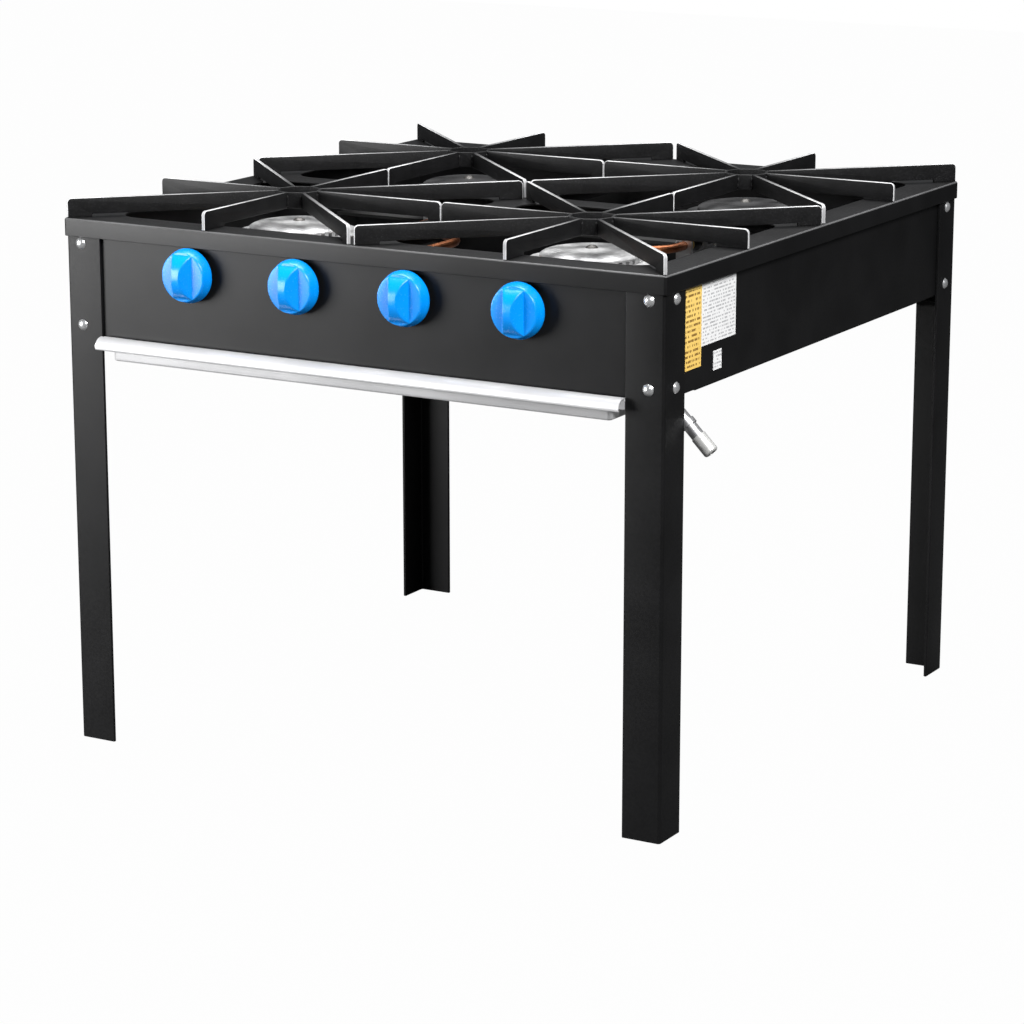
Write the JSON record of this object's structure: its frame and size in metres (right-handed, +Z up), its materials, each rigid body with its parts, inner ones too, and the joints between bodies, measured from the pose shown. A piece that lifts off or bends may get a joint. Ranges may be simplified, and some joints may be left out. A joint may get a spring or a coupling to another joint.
{
  "type": "propane burner stand",
  "caption": "Square black sheet-steel gas burner stand on angle legs, with star trivets, blue knobs, a side gas inlet and a pull-out drip tray.",
  "frame": {"origin": "on the floor, under the middle of the square frame", "axes": "+Z up, -Y towards the front panel with the knobs, +X towards the gas inlet side"},
  "size_m": [0.6244, 0.6237, 0.497],
  "materials": {
    "body_enamel": "semi-gloss black enamel on sheet steel",
    "leg_enamel": "semi-gloss black enamel on angle steel",
    "inner_enamel": "flat black paint",
    "trivet_enamel": "satin black enamel, slightly grainy",
    "zinc_screw": "bright zinc plate",
    "dark_screw": "heat-darkened steel",
    "cast_aluminium": "rough cast aluminium",
    "burner_iron": "dark cast iron",
    "pipe_steel": "plain steel pipe",
    "bracket_steel": "zinc-plated strip",
    "inlet_steel": "plated steel tube",
    "hose_end_metal": "turned, satin",
    "valve_brass": "turned brass",
    "copper_tube": "drawn copper, dulled",
    "spring_steel": "spring wire",
    "stem_steel": "turned steel",
    "yellow_label": "printed film, lines only",
    "white_label": "printed film, lines only",
    "tray_aluminium": "satin rolled sheet",
    "knob_blue": "glossy moulded plastic"
  },
  "bodies": {
    "root": {"top_frame": "body_enamel", "front_panel": "body_enamel", "rear_panel": "body_enamel", "left_panel": "body_enamel", "right_panel": "body_enamel", "leg_front_left": "leg_enamel", "leg_front_right": "leg_enamel", "leg_rear_left": "leg_enamel", "leg_rear_right": "leg_enamel", "leg_screws": "zinc_screw", "leg_nuts": "zinc_screw", "burner_rails": "inner_enamel", "burner_front_left": "cast_aluminium", "burner_front_right": "cast_aluminium", "burner_rear_left": "burner_iron", "burner_rear_right": "burner_iron", "burner_cap_front_left": "cast_aluminium", "burner_cap_front_right": "cast_aluminium", "burner_cap_rear_left": "burner_iron", "burner_cap_rear_right": "burner_iron", "cap_screws": "dark_screw", "burner_screws": "zinc_screw", "gas_manifold": "pipe_steel", "manifold_plug": "pipe_steel", "manifold_brackets": "bracket_steel", "inlet_elbow": "pipe_steel", "inlet_tube": "inlet_steel", "inlet_nut": "inlet_steel", "hose_end": "hose_end_metal", "valve_body_left_outer": "valve_brass", "valve_body_left_inner": "valve_brass", "valve_body_right_inner": "valve_brass", "valve_body_right_outer": "valve_brass", "valve_caps": "valve_brass", "jets": "valve_brass", "supply_tubes": "copper_tube", "union_nuts": "valve_brass", "jet_brackets": "bracket_steel", "stem_springs": "spring_steel", "tray_runners": "inner_enamel", "yellow_label": "yellow_label", "white_labels": "white_label"},
    "plug_left_outer": {"plug_left_outer": "valve_brass"},
    "knob_left_outer": {"knob_left_outer": "knob_blue", "stem_left_outer": "stem_steel"},
    "plug_left_inner": {"plug_left_inner": "valve_brass"},
    "knob_left_inner": {"knob_left_inner": "knob_blue", "stem_left_inner": "stem_steel"},
    "plug_right_inner": {"plug_right_inner": "valve_brass"},
    "knob_right_inner": {"knob_right_inner": "knob_blue", "stem_right_inner": "stem_steel"},
    "plug_right_outer": {"plug_right_outer": "valve_brass"},
    "knob_right_outer": {"knob_right_outer": "knob_blue", "stem_right_outer": "stem_steel"},
    "trivet_front_left": {"trivet_front_left": "trivet_enamel"},
    "trivet_front_right": {"trivet_front_right": "trivet_enamel"},
    "trivet_rear_left": {"trivet_rear_left": "trivet_enamel"},
    "trivet_rear_right": {"trivet_rear_right": "trivet_enamel"},
    "tray": {"drip_tray": "tray_aluminium"}
  },
  "joints": [
    {"name": "turn_left_outer", "type": "hinge", "parent": "root", "child": "plug_left_outer", "pos_m": [-0.165, -0.2952, 0.44], "axis": [0, -1, 0], "range_deg": [0, 180]},
    {"name": "push_left_outer", "type": "slide", "parent": "plug_left_outer", "child": "knob_left_outer", "axis": [0, 1, 0], "range_m": [0, 0.003], "stiffness_N_per_m": 500, "springref_m": -0.004},
    {"name": "turn_left_inner", "type": "hinge", "parent": "root", "child": "plug_left_inner", "pos_m": [-0.055, -0.2952, 0.44], "axis": [0, -1, 0], "range_deg": [0, 180]},
    {"name": "push_left_inner", "type": "slide", "parent": "plug_left_inner", "child": "knob_left_inner", "axis": [0, 1, 0], "range_m": [0, 0.003], "stiffness_N_per_m": 500, "springref_m": -0.004},
    {"name": "turn_right_inner", "type": "hinge", "parent": "root", "child": "plug_right_inner", "pos_m": [0.055, -0.2952, 0.44], "axis": [0, -1, 0], "range_deg": [0, 180]},
    {"name": "push_right_inner", "type": "slide", "parent": "plug_right_inner", "child": "knob_right_inner", "axis": [0, 1, 0], "range_m": [0, 0.003], "stiffness_N_per_m": 500, "springref_m": -0.004},
    {"name": "turn_right_outer", "type": "hinge", "parent": "root", "child": "plug_right_outer", "pos_m": [0.165, -0.2952, 0.44], "axis": [0, -1, 0], "range_deg": [0, 180]},
    {"name": "push_right_outer", "type": "slide", "parent": "plug_right_outer", "child": "knob_right_outer", "axis": [0, 1, 0], "range_m": [0, 0.003], "stiffness_N_per_m": 500, "springref_m": -0.004},
    {"name": "lift_trivet_front_left", "type": "slide", "parent": "root", "child": "trivet_front_left", "axis": [0, 0, 1], "range_m": [0, 0.15]},
    {"name": "lift_trivet_front_right", "type": "slide", "parent": "root", "child": "trivet_front_right", "axis": [0, 0, 1], "range_m": [0, 0.15]},
    {"name": "lift_trivet_rear_left", "type": "slide", "parent": "root", "child": "trivet_rear_left", "axis": [0, 0, 1], "range_m": [0, 0.15]},
    {"name": "lift_trivet_rear_right", "type": "slide", "parent": "root", "child": "trivet_rear_right", "axis": [0, 0, 1], "range_m": [0, 0.15]},
    {"name": "pull_tray", "type": "slide", "parent": "root", "child": "tray", "axis": [0, -1, 0], "range_m": [0, 0.45]}
  ]
}
